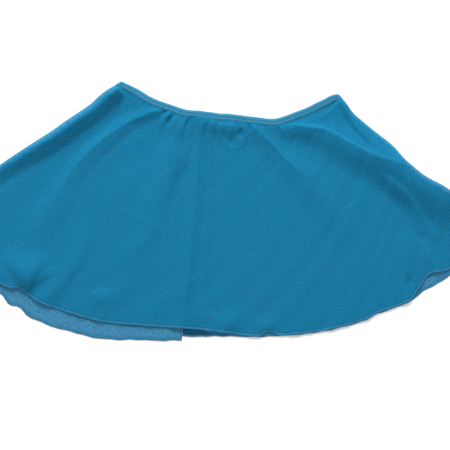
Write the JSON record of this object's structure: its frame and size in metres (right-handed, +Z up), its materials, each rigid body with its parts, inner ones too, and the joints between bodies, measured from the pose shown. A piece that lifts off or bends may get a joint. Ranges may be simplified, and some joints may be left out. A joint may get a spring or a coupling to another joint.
{
  "type": "ballet skirt laid flat",
  "caption": "Pull-on sheer georgette ballet skirt laid flat, flared from a narrow gathered elastic waistband to a rolled hem.",
  "frame": {"origin": "on the surface it lies on, under the middle of the whole skirt", "axes": "+Z up out of the surface; +Y towards the waist; +X to the viewer's right with the front layer uppermost"},
  "size_m": [0.6556, 0.2984, 0.0156],
  "materials": {
    "georgette": "matte",
    "rolled_hem": "matte",
    "waistband_casing": "matte"
  },
  "bodies": {
    "root": {"front_panel": "georgette", "back_panel_left": "georgette", "back_panel_right": "georgette", "back_seam_allowance": "georgette", "waistband": "waistband_casing", "front_hem": "rolled_hem", "back_hem_left": "rolled_hem", "back_hem_right": "rolled_hem"}
  },
  "joints": []
}
